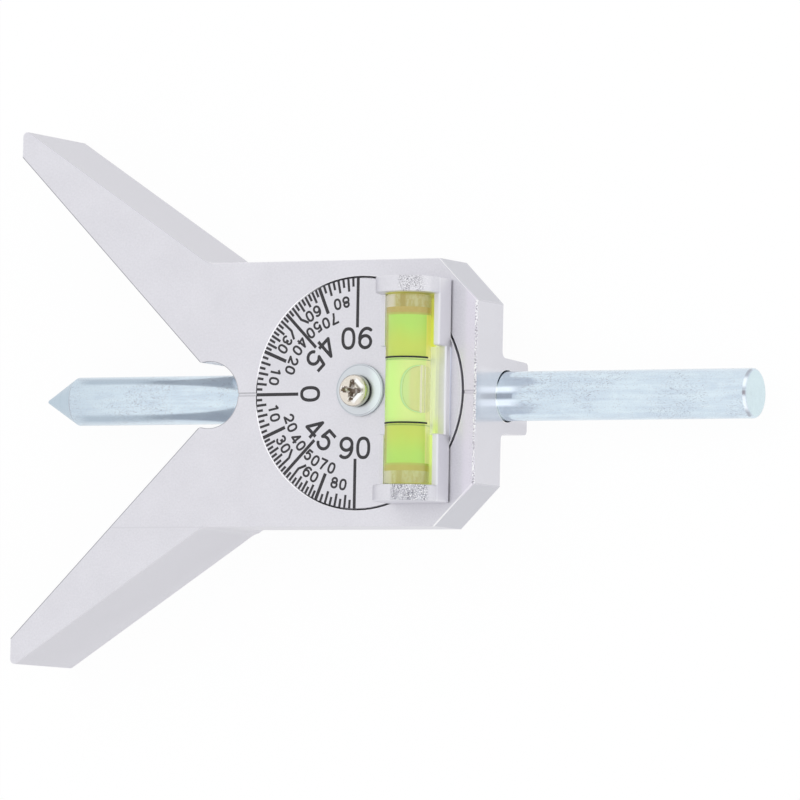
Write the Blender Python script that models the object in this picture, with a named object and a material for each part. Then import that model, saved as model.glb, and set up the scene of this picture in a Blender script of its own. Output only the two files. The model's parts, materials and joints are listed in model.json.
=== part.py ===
"""Pipe center finder: a forked aluminium head with a loose centre punch in its bore
and a graduated dial that carries a level vial.

The head lies on its back. +X runs along the punch towards its struck end, +Z is the
outward normal of the front face, and the origin is on the back face, under the dial's axis.
"""
import math

import bmesh
import bpy
from mathutils import Vector

MM = 0.001

# Fit and finish
SEAT_GAP = 0.3 * MM            # running or seating gap between two pieces
WASHER_GAP = 0.2 * MM          # above and below the flat washer
EDGE_BREAK = 0.35 * MM         # radius on the head's cast edges
CUT_MARGIN = 2.0 * MM          # how far a cutter reaches past the surface it opens

# Head casting
HEAD_THICKNESS = 25.4 * MM     # front face to the back of the arms and rib
PLATE_THICKNESS = 12.7 * MM    # plate that holds the dial
SIDE_WALL = 3.55 * MM          # from the dial's recess to the body's side
REAR_WALL = 2.85 * MM          # from the dial's recess to the rear face
RECESS_OFFSET = 0.25 * MM      # how far the recess is bored off the dial's axis, towards the rear
REAR_CHAMFER = 9.35 * MM       # 45 degree corner cut beside the rear face
APEX_WALL = 4.5 * MM           # from the dial's recess to the apex hole
APEX_CLEARANCE = 1.95 * MM     # between the punch and the apex hole
APEX_LIP = 1.0 * MM            # rounding between the apex hole and the seats
VEE_LEAD = 4.9 * MM            # from the apex hole's centre to where the seats would meet
FORK_DEPTH = 54.5 * MM         # from where the seats would meet to the ends of the arms
TIP_END_WIDTH = 6.7 * MM       # flat end of an arm, with its outer corner square
TIP_CORNER = 1.1 * MM
SHOULDER_SETBACK = 0.9 * MM    # from the apex hole's centre to where the arms leave the sides
SHOULDER_FILLET = 5.0 * MM
RIB_WALL = 2.65 * MM           # beside the bore, at the plate
RIB_DRAFT = 0.4 * MM           # how much narrower each side of the rib is at the back
RIB_FOOT_FILLET = 1.4 * MM     # where the rib and the arms meet the back of the plate
RIB_BACK_ROUND = 1.1 * MM      # on the rib's and the arms' edges beside the reliefs
BORE_FLOOR = 4.1 * MM          # between the bore and the back of the rib
RELIEF_SETBACK = 1.9 * MM      # start of the thin plate behind the shoulder
RELIEF_FILLET = 3.0 * MM
INDEX_LINE_WIDTH = 0.7 * MM
INDEX_LINE_DEPTH = 0.25 * MM

# Punch
PUNCH_DIAMETER = 11.0 * MM
PUNCH_LENGTH = 177.5 * MM
PUNCH_REACH = 0.6 * MM         # how far the point stands out past the arms
PUNCH_CONE_LENGTH = 8.5 * MM
PUNCH_TIP_RADIUS = 0.45 * MM
PUNCH_END_ROUND = 0.7 * MM

# Dial
DIAL_THICKNESS = 4.5 * MM
DIAL_EDGE_GAP = 0.4 * MM       # between the dial and the wall of its recess
DIAL_EDGE_CHAMFER = 0.15 * MM
DIAL_SETTING = math.radians(0.47)  # how far the dial is turned from its zero
WAVE_POCKET_DEPTH = 1.1 * MM   # in the dial's underside

# Vial carrier, cast with the dial
CARRIER_CLEARANCE = 1.78 * MM  # between the washer, when it slips that way, and the carrier
CARRIER_INSET = 2.55 * MM      # from the dial's edge to the carrier's outer side
CARRIER_WALL = 1.8 * MM        # beside the cavity
CARRIER_BLOCK = 3.55 * MM      # thickness of a half-round end block
CAVITY_SIDE_GAP = 0.6 * MM     # on each side of the vial, low in the cavity
CAVITY_DRAFT = math.radians(5) # how far the cavity's sides lean outwards
CAVITY_FLOOR_HEIGHT = 1.1 * MM  # above the front face
WALL_HEIGHT = 6.0 * MM
WINDOW_WALL_HEIGHT = 2.6 * MM
WINDOW_LENGTH = 19.4 * MM
CARRIER_EDGE_BREAK = 0.35 * MM

# Vial
VIAL_DIAMETER = 10.0 * MM
VIAL_LENGTH = 41.6 * MM
VIAL_END_ROUND = 0.5 * MM
VIAL_WALL = 1.1 * MM
PLUG_LENGTH = 2.8 * MM
SEAL_LENGTH = 1.5 * MM
BUBBLE_LENGTH = 10.5 * MM
BUBBLE_WIDTH = 6.8 * MM
BUBBLE_DEPTH = 1.7 * MM
BUBBLE_TILT = math.radians(15)  # from +X towards +Z, where the bubble lies

# Screw, flat washer and wave washer
SCREW_DIAMETER = 3.5 * MM
SCREW_HEAD_DIAMETER = 7.15 * MM
SCREW_HEAD_WALL = 1.15 * MM    # upright side of the head, below its crown
SCREW_CROWN_HEIGHT = 1.15 * MM
SCREW_HEAD_EDGE = 0.15 * MM
SCREW_POINT_CHAMFER = 0.5 * MM
SCREW_HOLE_WALL = 0.5 * MM     # between the bottom of the screw hole and the bore
SCREW_OFFSET = 0.4 * MM        # how far the screw stands off the dial's axis, towards +Y
CROSS_SPAN = 4.9 * MM          # cross recess, tip to tip
CROSS_WIDTH = 1.15 * MM
CROSS_DEPTH = 1.8 * MM
CROSS_FLOOR_SHARE = 0.35       # how much of its span a wing keeps at its floor
CROSS_PIT_RADIUS = 1.05 * MM   # round pit where the wings meet
CROSS_TURN = math.radians(-4)
WASHER_DIAMETER = 11.6 * MM
WASHER_THICKNESS = 0.6 * MM
WASHER_EDGE_ROUND = 0.15 * MM
WASHER_PLAY = 0.87 * MM        # radial play round the screw
WASHER_SLIP_ANGLE = math.radians(20)  # the side towards which the washer has slipped
WAVE_WASHER_DIAMETER = 11.0 * MM
WAVE_WASHER_THICKNESS = 0.3 * MM
WAVE_COUNT = 3

# Facets
ROUND_STEPS = 96               # round pieces and bores
SMALL_STEPS = 48               # screw, washers
CORNER_STEPS = 6
CROWN_STEPS = 8
CROWN_FULLNESS = 0.55          # below 1, the screw's crown is flatter than half an ellipse

# Worked out from the sizes above
PUNCH_RADIUS = PUNCH_DIAMETER / 2
BORE_RADIUS = PUNCH_RADIUS + SEAT_GAP
PUNCH_HEIGHT = BORE_FLOOR + BORE_RADIUS
WASHER_SLIP = WASHER_PLAY - WASHER_GAP
VIAL_RADIUS = VIAL_DIAMETER / 2
CAVITY_HALF_WIDTH = VIAL_RADIUS + CAVITY_SIDE_GAP
CARRIER_RADIUS = CAVITY_HALF_WIDTH + CARRIER_WALL
VIAL_AXIS_X = WASHER_DIAMETER / 2 + WASHER_SLIP + CARRIER_CLEARANCE + CARRIER_RADIUS
DIAL_RADIUS = VIAL_AXIS_X + CARRIER_RADIUS + CARRIER_INSET
RECESS_RADIUS = DIAL_RADIUS + DIAL_EDGE_GAP
BODY_HALF_WIDTH = RECESS_RADIUS + SIDE_WALL
REAR_X = RECESS_OFFSET + RECESS_RADIUS + REAR_WALL
APEX_HOLE_RADIUS = PUNCH_RADIUS + APEX_CLEARANCE
APEX_HOLE_X = RECESS_OFFSET - RECESS_RADIUS - APEX_WALL - APEX_HOLE_RADIUS
VEE_APEX_X = APEX_HOLE_X + VEE_LEAD
TIP_X = VEE_APEX_X - FORK_DEPTH
TIP_HALF_SPAN = FORK_DEPTH + TIP_END_WIDTH
SHOULDER_X = APEX_HOLE_X - SHOULDER_SETBACK
RIB_HALF_WIDTH = BORE_RADIUS + RIB_WALL
PUNCH_TIP_X = TIP_X - PUNCH_REACH
FRONT_Z = HEAD_THICKNESS
PLATE_BACK_Z = HEAD_THICKNESS - PLATE_THICKNESS
DIAL_BACK_Z = FRONT_Z - DIAL_THICKNESS
RECESS_FLOOR_Z = DIAL_BACK_Z - SEAT_GAP
WAVE_POCKET_Z = DIAL_BACK_Z + WAVE_POCKET_DEPTH
SCREW_RADIUS = SCREW_DIAMETER / 2
SCREW_HOLE_RADIUS = SCREW_RADIUS + SEAT_GAP
DIAL_HOLE_RADIUS = SCREW_HOLE_RADIUS + SCREW_OFFSET
SCREW_HOLE_FLOOR_Z = PUNCH_HEIGHT + BORE_RADIUS + SCREW_HOLE_WALL
WASHER_Z = FRONT_Z + WASHER_GAP
SCREW_HEAD_Z = WASHER_Z + WASHER_THICKNESS + WASHER_GAP
SCREW_TOP_Z = SCREW_HEAD_Z + SCREW_HEAD_WALL + SCREW_CROWN_HEIGHT
SCREW_END_Z = SCREW_HOLE_FLOOR_Z + SEAT_GAP
VIAL_HALF_LENGTH = VIAL_LENGTH / 2
VIAL_BORE_RADIUS = VIAL_RADIUS - VIAL_WALL
CAVITY_FLOOR_Z = FRONT_Z + CAVITY_FLOOR_HEIGHT
VIAL_Z = CAVITY_FLOOR_Z + SEAT_GAP + VIAL_RADIUS
CAVITY_HALF_LENGTH = VIAL_HALF_LENGTH + SEAT_GAP
CARRIER_HALF_LENGTH = CAVITY_HALF_LENGTH + CARRIER_BLOCK
CARRIER_BASE_Z = FRONT_Z + SEAT_GAP


# Scene and materials

def clear_scene():
    for old in list(bpy.data.objects):
        bpy.data.objects.remove(old, do_unlink=True)


def make_material(name, colour, roughness, metallic=0.0, transmission=0.0, alpha=1.0):
    material = bpy.data.materials.new(name)
    material.use_nodes = True
    shader = material.node_tree.nodes["Principled BSDF"]
    shader.inputs["Base Color"].default_value = (*colour, 1.0)
    shader.inputs["Roughness"].default_value = roughness
    shader.inputs["Metallic"].default_value = metallic
    shader.inputs["Transmission Weight"].default_value = transmission
    shader.inputs["Alpha"].default_value = alpha
    material.diffuse_color = (*colour, alpha)
    return material


# Outlines

def arc_points(centre, radius, start, end, steps):
    """Points on an arc about centre, both ends included; angles in radians."""
    points = []
    for step in range(steps + 1):
        angle = start + (end - start) * step / steps
        points.append((centre[0] + radius * math.cos(angle), centre[1] + radius * math.sin(angle)))
    return points


def arc_between(centre, first, last, steps):
    """The shorter arc about centre from the point first to the point last."""
    radius = math.dist(centre, first)
    start = math.atan2(first[1] - centre[1], first[0] - centre[0])
    end = math.atan2(last[1] - centre[1], last[0] - centre[0])
    turn = (end - start + math.pi) % (2 * math.pi) - math.pi
    return arc_points(centre, radius, start, start + turn, steps)


def rounded_corner(before, corner, after, radius, steps=CORNER_STEPS):
    """The corner of a straight-sided outline, rounded to radius."""
    here = Vector(corner)
    back = (Vector(before) - here).normalized()
    ahead = (Vector(after) - here).normalized()
    half = back.angle(ahead) / 2
    reach = radius / math.tan(half)
    centre = here + (back + ahead).normalized() * (radius / math.sin(half))
    return arc_between(tuple(centre), tuple(here + back * reach), tuple(here + ahead * reach), steps)


def mirrored(points):
    """The outline's other half, across the X axis and in running order."""
    return [(x, -y) for x, y in reversed(points)]


# Solids

def add_object(name, mesh):
    obj = bpy.data.objects.new(name, mesh)
    bpy.context.scene.collection.objects.link(obj)
    return obj


def mesh_from_bmesh(name, bm):
    bmesh.ops.recalc_face_normals(bm, faces=bm.faces)
    mesh = bpy.data.meshes.new(name)
    bm.to_mesh(mesh)
    bm.free()
    return mesh


def loft(name, sections):
    """A closed solid through rings of equal length, each ring a list of 3-D points."""
    bm = bmesh.new()
    rings = [[bm.verts.new(point) for point in section] for section in sections]
    count = len(rings[0])
    for lower, upper in zip(rings, rings[1:]):
        for i in range(count):
            j = (i + 1) % count
            bm.faces.new((lower[i], lower[j], upper[j], upper[i]))
    bm.faces.new(tuple(reversed(rings[0])))
    bm.faces.new(tuple(rings[-1]))
    return add_object(name, mesh_from_bmesh(name, bm))


def prism(name, outline, low, high):
    """An outline in X and Y, carried from z = low to z = high."""
    return loft(name, [[(x, y, low) for x, y in outline], [(x, y, high) for x, y in outline]])


def prism_y(name, outline, low, high):
    """An outline in X and Z, carried from y = low to y = high."""
    return loft(name, [[(x, low, z) for x, z in outline], [(x, high, z) for x, z in outline]])


def turned(name, profile, steps, axis="Z", centre=(0.0, 0.0)):
    """A profile of (radius, position) turned about an axis through centre.

    A profile that starts and ends on the axis gives a solid, and any other a closed ring.
    """
    bm = bmesh.new()
    rings = []
    for radius, position in profile:
        on_axis = radius < 1e-9
        ring = []
        for step in range(1 if on_axis else steps):
            angle = 2 * math.pi * step / steps
            u = radius * math.cos(angle)
            v = radius * math.sin(angle)
            ring.append(bm.verts.new(on_axis_point(axis, centre, position, u, v)))
        rings.append(ring)
    pairs = list(zip(rings, rings[1:]))
    if len(rings[0]) > 1:
        pairs.append((rings[-1], rings[0]))
    for first, second in pairs:
        for i in range(steps):
            j = (i + 1) % steps
            if len(first) == 1:
                bm.faces.new((first[0], second[i], second[j]))
            elif len(second) == 1:
                bm.faces.new((first[i], second[0], first[j]))
            else:
                bm.faces.new((first[i], second[i], second[j], first[j]))
    return add_object(name, mesh_from_bmesh(name, bm))


def on_axis_point(axis, centre, position, u, v):
    """A point beside a turning axis; centre gives the axis's two other coordinates."""
    if axis == "X":
        return (position, centre[0] + u, centre[1] + v)
    if axis == "Y":
        return (centre[0] + u, position, centre[1] + v)
    return (centre[0] + u, centre[1] + v, position)


def boolean(target, tool, operation="DIFFERENCE"):
    """A live Boolean whose tool stays hidden in the file."""
    tool.hide_render = True
    tool.display_type = "WIRE"
    modifier = target.modifiers.new(operation.title() + " " + tool.name, "BOOLEAN")
    modifier.operation = operation
    modifier.solver = "EXACT"
    modifier.object = tool


def edge_break(target, width, angle):
    modifier = target.modifiers.new("Edge break", "BEVEL")
    modifier.width = width
    modifier.segments = 2
    modifier.limit_method = "ANGLE"
    modifier.angle_limit = angle
    modifier.miter_outer = "MITER_ARC"


def settle(obj):
    """Applies the live modifiers, and removes the tools that they used."""
    tools = [modifier.object for modifier in obj.modifiers if modifier.type == "BOOLEAN"]
    graph = bpy.context.evaluated_depsgraph_get()
    mesh = bpy.data.meshes.new_from_object(obj.evaluated_get(graph))
    obj.modifiers.clear()
    obj.data = mesh
    for tool in tools:
        bpy.data.objects.remove(tool, do_unlink=True)


def hang_on_axis(name, place, turn, pieces):
    """Carries pieces on an empty that stands on their joint's axis, turned about Z."""
    axis = bpy.data.objects.new(name, None)
    axis.location = place
    axis.rotation_euler = (0.0, 0.0, turn)
    bpy.context.scene.collection.objects.link(axis)
    for piece in pieces:
        piece.parent = axis


def finish(obj, material, smooth_angle=30.0):
    obj.data.materials.clear()
    obj.data.materials.append(material)
    obj.data.shade_smooth()
    obj.data.set_sharp_from_angle(angle=math.radians(smooth_angle))
    return obj


# Head

def apex_points():
    """From the upper seat round the lip into the apex hole, down to the X axis."""
    reach = VEE_APEX_X - APEX_HOLE_X + APEX_LIP * math.sqrt(2)
    outer = APEX_HOLE_RADIUS + APEX_LIP
    lip_y = (reach + math.sqrt(2 * outer ** 2 - reach ** 2)) / 2
    lip_centre = (APEX_HOLE_X + reach - lip_y, lip_y)
    on_seat = (lip_centre[0] - APEX_LIP / math.sqrt(2), lip_centre[1] - APEX_LIP / math.sqrt(2))
    share = APEX_HOLE_RADIUS / outer
    on_hole = (APEX_HOLE_X + (lip_centre[0] - APEX_HOLE_X) * share, lip_centre[1] * share)
    start = math.atan2(on_hole[1], on_hole[0] - APEX_HOLE_X)
    hole = arc_points((APEX_HOLE_X, 0.0), APEX_HOLE_RADIUS, start, 0.0, ROUND_STEPS // 4)
    return arc_between(lip_centre, on_seat, on_hole, CORNER_STEPS) + hole[1:]


def head_outline():
    tip_inner = (TIP_X, VEE_APEX_X - TIP_X)
    tip_outer = (TIP_X, TIP_HALF_SPAN)
    shoulder = (SHOULDER_X, BODY_HALF_WIDTH)
    chamfer_side = (REAR_X - REAR_CHAMFER, BODY_HALF_WIDTH)
    chamfer_rear = (REAR_X, BODY_HALF_WIDTH - REAR_CHAMFER)
    upper = [chamfer_rear, chamfer_side]
    upper += rounded_corner(chamfer_side, shoulder, tip_outer, SHOULDER_FILLET)
    upper += rounded_corner(shoulder, tip_outer, tip_inner, TIP_CORNER)
    upper += [tip_inner]
    upper += apex_points()
    return upper + mirrored(upper[:-1])


def relief_outline(side, taper):
    """The space behind the plate on one side; taper shrinks the arm and the rib."""
    rib_y = RIB_HALF_WIDTH - taper
    slope = Vector((SHOULDER_X - TIP_X, BODY_HALF_WIDTH - TIP_HALF_SPAN)) / (TIP_HALF_SPAN - BODY_HALF_WIDTH)
    outside = BODY_HALF_WIDTH + CUT_MARGIN
    side_x = SHOULDER_X + RELIEF_SETBACK - taper * slope.length
    start = (side_x - slope.x * CUT_MARGIN, outside)
    corner = (side_x + slope.x * (BODY_HALF_WIDTH - rib_y), rib_y)
    far = (REAR_X + CUT_MARGIN, rib_y)
    points = [start]
    points += rounded_corner(start, corner, far, RELIEF_FILLET)
    points += [far, (far[0], outside)]
    return [(x, side * y) for x, y in points]


def relief_levels():
    """Heights in the relief, each with how far the arm and the rib draw back from their full width."""
    levels = []
    for step in range(CORNER_STEPS):
        angle = math.pi / 2 * step / CORNER_STEPS
        levels.append((RIB_BACK_ROUND * (1 - math.cos(angle)), RIB_BACK_ROUND * (1 - math.sin(angle))))
    for step in range(CORNER_STEPS + 1):
        angle = math.pi / 2 * step / CORNER_STEPS
        height = PLATE_BACK_Z - RIB_FOOT_FILLET * (1 - math.sin(angle))
        levels.append((height, -RIB_FOOT_FILLET * (1 - math.cos(angle))))
    drafted = [(z, back + RIB_DRAFT * (1 - z / PLATE_BACK_Z)) for z, back in levels]
    return [(-CUT_MARGIN, drafted[0][1])] + drafted


def relief_tool(side):
    sections = []
    for z, taper in relief_levels():
        sections.append([(x, y, z) for x, y in relief_outline(side, taper)])
    return loft("relief tool", sections)


def index_line_tool(name, start_x, end_x):
    half = INDEX_LINE_WIDTH / 2
    corners = [(start_x, -half), (end_x, -half), (end_x, half), (start_x, half)]
    return prism(name, corners, FRONT_Z - INDEX_LINE_DEPTH, FRONT_Z + CUT_MARGIN)


def make_head(material):
    head = prism("head_body", head_outline(), 0.0, HEAD_THICKNESS)
    boolean(head, relief_tool(1))
    boolean(head, relief_tool(-1))
    edge_break(head, EDGE_BREAK, math.radians(35))
    bore = [(0.0, APEX_HOLE_X), (BORE_RADIUS, APEX_HOLE_X)]
    bore += [(BORE_RADIUS, REAR_X + CUT_MARGIN), (0.0, REAR_X + CUT_MARGIN)]
    boolean(head, turned("bore tool", bore, ROUND_STEPS // 2, "X", (0.0, PUNCH_HEIGHT)))
    recess = [(0.0, RECESS_FLOOR_Z), (RECESS_RADIUS, RECESS_FLOOR_Z)]
    recess += [(RECESS_RADIUS, FRONT_Z + CUT_MARGIN), (0.0, FRONT_Z + CUT_MARGIN)]
    boolean(head, turned("dial recess tool", recess, ROUND_STEPS, "Z", (RECESS_OFFSET, 0.0)))
    hole = [(0.0, SCREW_HOLE_FLOOR_Z), (SCREW_HOLE_RADIUS, SCREW_HOLE_FLOOR_Z)]
    hole += [(SCREW_HOLE_RADIUS, RECESS_FLOOR_Z + CUT_MARGIN), (0.0, RECESS_FLOOR_Z + CUT_MARGIN)]
    boolean(head, turned("screw hole tool", hole, SMALL_STEPS, "Z", (0.0, SCREW_OFFSET)))
    boolean(head, index_line_tool("fork index tool", APEX_HOLE_X, -DIAL_RADIUS))
    boolean(head, index_line_tool("rear index tool", DIAL_RADIUS, REAR_X + CUT_MARGIN))
    settle(head)
    return finish(head, material)


# Punch

def make_punch(material):
    tail_x = PUNCH_TIP_X + PUNCH_LENGTH
    cone_x = PUNCH_TIP_X + PUNCH_CONE_LENGTH
    slope = math.atan2(PUNCH_RADIUS, PUNCH_CONE_LENGTH)
    nose_x = PUNCH_TIP_X + PUNCH_TIP_RADIUS
    profile = []
    for x, radius in arc_points((nose_x, 0.0), PUNCH_TIP_RADIUS, math.pi, math.pi / 2 + slope, 4):
        profile.append((max(radius, 0.0), x))
    profile[0] = (0.0, PUNCH_TIP_X)
    profile.append((PUNCH_RADIUS, cone_x))
    round_centre = (tail_x - PUNCH_END_ROUND, PUNCH_RADIUS - PUNCH_END_ROUND)
    for x, radius in arc_points(round_centre, PUNCH_END_ROUND, math.pi / 2, 0.0, 4):
        profile.append((radius, x))
    profile.append((0.0, tail_x))
    punch = finish(turned("punch", profile, ROUND_STEPS // 2, "X"), material)
    hang_on_axis("punch_axis", (0.0, 0.0, PUNCH_HEIGHT), 0.0, [punch])


# Dial with its vial carrier

def carrier_section(height):
    """The carrier across the vial: straight sides up to height, or the half round above them."""
    left = VIAL_AXIS_X - CARRIER_RADIUS
    right = VIAL_AXIS_X + CARRIER_RADIUS
    if height is None:
        crown = arc_points((VIAL_AXIS_X, VIAL_Z), CARRIER_RADIUS, 0.0, math.pi, ROUND_STEPS // 4)
        return [(left, CARRIER_BASE_Z), (right, CARRIER_BASE_Z)] + crown
    top = FRONT_Z + height
    return [(left, CARRIER_BASE_Z), (right, CARRIER_BASE_Z), (right, top), (left, top)]


def cavity_tool():
    half = CAVITY_HALF_WIDTH
    corner = half - VIAL_RADIUS / 4
    above = VIAL_Z + CARRIER_RADIUS + CUT_MARGIN
    top_half = half + (above - CAVITY_FLOOR_Z) * math.tan(CAVITY_DRAFT)
    low_left = (VIAL_AXIS_X - half, CAVITY_FLOOR_Z)
    low_right = (VIAL_AXIS_X + half, CAVITY_FLOOR_Z)
    top_left = (VIAL_AXIS_X - top_half, above)
    top_right = (VIAL_AXIS_X + top_half, above)
    section = rounded_corner(top_left, low_left, low_right, corner)
    section += rounded_corner(low_left, low_right, top_right, corner)
    section += [top_right, top_left]
    return prism_y("vial cavity tool", section, -CAVITY_HALF_LENGTH, CAVITY_HALF_LENGTH)


def window_tool():
    """Lowers both long walls beside the bubble."""
    low = FRONT_Z + WINDOW_WALL_HEIGHT
    high = VIAL_Z + CARRIER_RADIUS + CUT_MARGIN
    left = VIAL_AXIS_X - CARRIER_RADIUS - CUT_MARGIN
    right = VIAL_AXIS_X + CARRIER_RADIUS + CUT_MARGIN
    section = [(left, low), (right, low), (right, high), (left, high)]
    return prism_y("window tool", section, -WINDOW_LENGTH / 2, WINDOW_LENGTH / 2)


def wall_tool():
    """Takes the half round down to the wall height between the end blocks."""
    low = FRONT_Z + WALL_HEIGHT
    high = VIAL_Z + CARRIER_RADIUS + CUT_MARGIN
    left = VIAL_AXIS_X - CARRIER_RADIUS - CUT_MARGIN
    right = VIAL_AXIS_X + CARRIER_RADIUS + CUT_MARGIN
    section = [(left, low), (right, low), (right, high), (left, high)]
    return prism_y("wall tool", section, -CAVITY_HALF_LENGTH, CAVITY_HALF_LENGTH)


def make_dial(material):
    rim = DIAL_EDGE_CHAMFER
    profile = [(DIAL_HOLE_RADIUS, FRONT_Z), (DIAL_HOLE_RADIUS, WAVE_POCKET_Z)]
    pocket_radius = WAVE_WASHER_DIAMETER / 2 + SEAT_GAP
    profile += [(pocket_radius, WAVE_POCKET_Z), (pocket_radius, DIAL_BACK_Z)]
    profile += [(DIAL_RADIUS - rim, DIAL_BACK_Z), (DIAL_RADIUS, DIAL_BACK_Z + rim)]
    profile += [(DIAL_RADIUS, FRONT_Z - rim), (DIAL_RADIUS - rim, FRONT_Z)]
    dial = turned("dial", profile, ROUND_STEPS)
    carrier = prism_y("carrier block", carrier_section(None), -CARRIER_HALF_LENGTH, CARRIER_HALF_LENGTH)
    boolean(carrier, wall_tool())
    boolean(carrier, window_tool())
    edge_break(carrier, CARRIER_EDGE_BREAK, math.radians(35))
    settle(carrier)
    foot = prism_y("carrier foot", carrier_foot(), -foot_half_length(), foot_half_length())
    boolean(dial, foot, "UNION")
    boolean(dial, carrier, "UNION")
    boolean(dial, cavity_tool())
    settle(dial)
    return finish(dial, material)


def foot_half_length():
    """Half the length over which the carrier's outer side stays above the disc."""
    reach = VIAL_AXIS_X + CARRIER_RADIUS
    return math.sqrt((DIAL_RADIUS - DIAL_EDGE_CHAMFER - SEAT_GAP) ** 2 - reach ** 2)


def carrier_foot():
    """Web that joins the carrier to the disc, where the carrier lies over it."""
    inset = CARRIER_EDGE_BREAK
    left = VIAL_AXIS_X - CARRIER_RADIUS + inset
    right = VIAL_AXIS_X + CARRIER_RADIUS - inset
    low = FRONT_Z - DIAL_EDGE_CHAMFER
    high = CARRIER_BASE_Z + SEAT_GAP
    return [(left, low), (right, low), (right, high), (left, high)]


# Vial

def make_vial(clear, green, amber):
    half = VIAL_HALF_LENGTH
    centre = (VIAL_AXIS_X, VIAL_Z)
    profile = [(VIAL_BORE_RADIUS, -half), (VIAL_BORE_RADIUS, half)]
    end_round = min(VIAL_END_ROUND, VIAL_WALL / 2)
    corner = (half - end_round, VIAL_RADIUS - end_round)
    outside = [(radius, y) for y, radius in arc_points(corner, end_round, 0.0, math.pi / 2, 4)]
    profile += outside + [(radius, -y) for radius, y in reversed(outside)]
    pieces = [finish(turned("vial_tube", profile, ROUND_STEPS // 2, "Y", centre), clear)]
    core_radius = VIAL_BORE_RADIUS - SEAT_GAP
    seal_start = half - PLUG_LENGTH - SEAT_GAP - SEAL_LENGTH
    for side, label in ((1, "upper"), (-1, "lower")):
        plug_span = (side * (half - PLUG_LENGTH), side * half)
        seal_span = (side * seal_start, side * (seal_start + SEAL_LENGTH))
        pieces.append(make_core("vial_plug_" + label, plug_span, core_radius, centre, clear))
        pieces.append(make_core("vial_seal_" + label, seal_span, core_radius, centre, amber))
    fill = seal_start - SEAT_GAP
    liquid = turned("vial_liquid", core_profile((-fill, fill), core_radius), ROUND_STEPS // 2, "Y", centre)
    boolean(liquid, bubble_tool(core_radius))
    settle(liquid)
    pieces.append(finish(liquid, green))
    return pieces


def core_profile(span, radius):
    return [(0.0, span[0]), (radius, span[0]), (radius, span[1]), (0.0, span[1])]


def make_core(name, span, radius, centre, material):
    return finish(turned(name, core_profile(span, radius), ROUND_STEPS // 2, "Y", centre), material)


def bubble_tool(core_radius):
    """The air bubble, an egg-shaped body that lies against the top of the liquid."""
    direction = Vector((math.cos(BUBBLE_TILT), 0.0, math.sin(BUBBLE_TILT)))
    across = Vector((-direction.z, 0.0, direction.x))
    middle = Vector((VIAL_AXIS_X, 0.0, VIAL_Z)) + direction * core_radius
    rings = 12
    steps = 24
    sections = []
    for ring in range(1, rings):
        angle = math.pi * ring / rings
        y = -BUBBLE_LENGTH / 2 * math.cos(angle)
        size = math.sin(angle)
        section = []
        for step in range(steps):
            turn = 2 * math.pi * step / steps
            offset = across * (BUBBLE_WIDTH / 2 * size * math.cos(turn))
            offset += direction * (BUBBLE_DEPTH * size * math.sin(turn))
            section.append(tuple(middle + offset + Vector((0.0, y, 0.0))))
        sections.append(section)
    return loft("bubble tool", sections)


# Screw and washers

def cross_wings(name, turn):
    """Two opposite wings of the cross recess: a wedge with blunt corners that narrows with depth."""
    sections = []
    for depth in (-CUT_MARGIN, 0.0, CROSS_DEPTH):
        share = 1 - (1 - CROSS_FLOOR_SHARE) * depth / CROSS_DEPTH
        half_span = CROSS_SPAN / 2 * share
        half_width = CROSS_WIDTH / 2 * (0.5 + share / 2)
        blunt = half_width / 2
        quarter = [(half_span, half_width - blunt), (half_span - blunt, half_width)]
        ends = quarter + [(-x, y) for x, y in reversed(quarter)]
        corners = ends + [(-x, -y) for x, y in ends]
        sections.append([(*turned_point(corner, turn), SCREW_TOP_Z - depth) for corner in corners])
    return loft(name, sections)


def turned_point(point, turn):
    """A point turned about the dial's axis, and carried to the screw's."""
    x = point[0] * math.cos(turn) - point[1] * math.sin(turn)
    y = point[0] * math.sin(turn) + point[1] * math.cos(turn)
    return (x, y + SCREW_OFFSET)


def make_screw(material):
    head_radius = SCREW_HEAD_DIAMETER / 2
    point = SCREW_POINT_CHAMFER
    profile = [(0.0, SCREW_END_Z), (SCREW_RADIUS - point, SCREW_END_Z)]
    profile += [(SCREW_RADIUS, SCREW_END_Z + point), (SCREW_RADIUS, SCREW_HEAD_Z)]
    profile += [(head_radius - SCREW_HEAD_EDGE, SCREW_HEAD_Z), (head_radius, SCREW_HEAD_Z + SCREW_HEAD_EDGE)]
    crown_z = SCREW_HEAD_Z + SCREW_HEAD_WALL
    for step in range(CROWN_STEPS):
        angle = math.pi / 2 * step / CROWN_STEPS
        radius = head_radius * math.cos(angle) ** CROWN_FULLNESS
        profile.append((radius, crown_z + SCREW_CROWN_HEIGHT * math.sin(angle)))
    profile.append((0.0, SCREW_TOP_Z))
    place = (0.0, SCREW_OFFSET)
    screw = turned("dial_screw", profile, SMALL_STEPS, "Z", place)
    boolean(screw, cross_wings("cross wings a", CROSS_TURN))
    boolean(screw, cross_wings("cross wings b", CROSS_TURN + math.pi / 2))
    pit = [(0.0, SCREW_TOP_Z - CROSS_DEPTH * 0.9), (CROSS_PIT_RADIUS * 0.5, SCREW_TOP_Z - CROSS_DEPTH * 0.7)]
    pit += [(CROSS_PIT_RADIUS, SCREW_TOP_Z), (CROSS_PIT_RADIUS, SCREW_TOP_Z + CUT_MARGIN)]
    pit.append((0.0, SCREW_TOP_Z + CUT_MARGIN))
    boolean(screw, turned("cross pit", pit, SMALL_STEPS // 2, "Z", place))
    settle(screw)
    return finish(screw, material)


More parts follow.
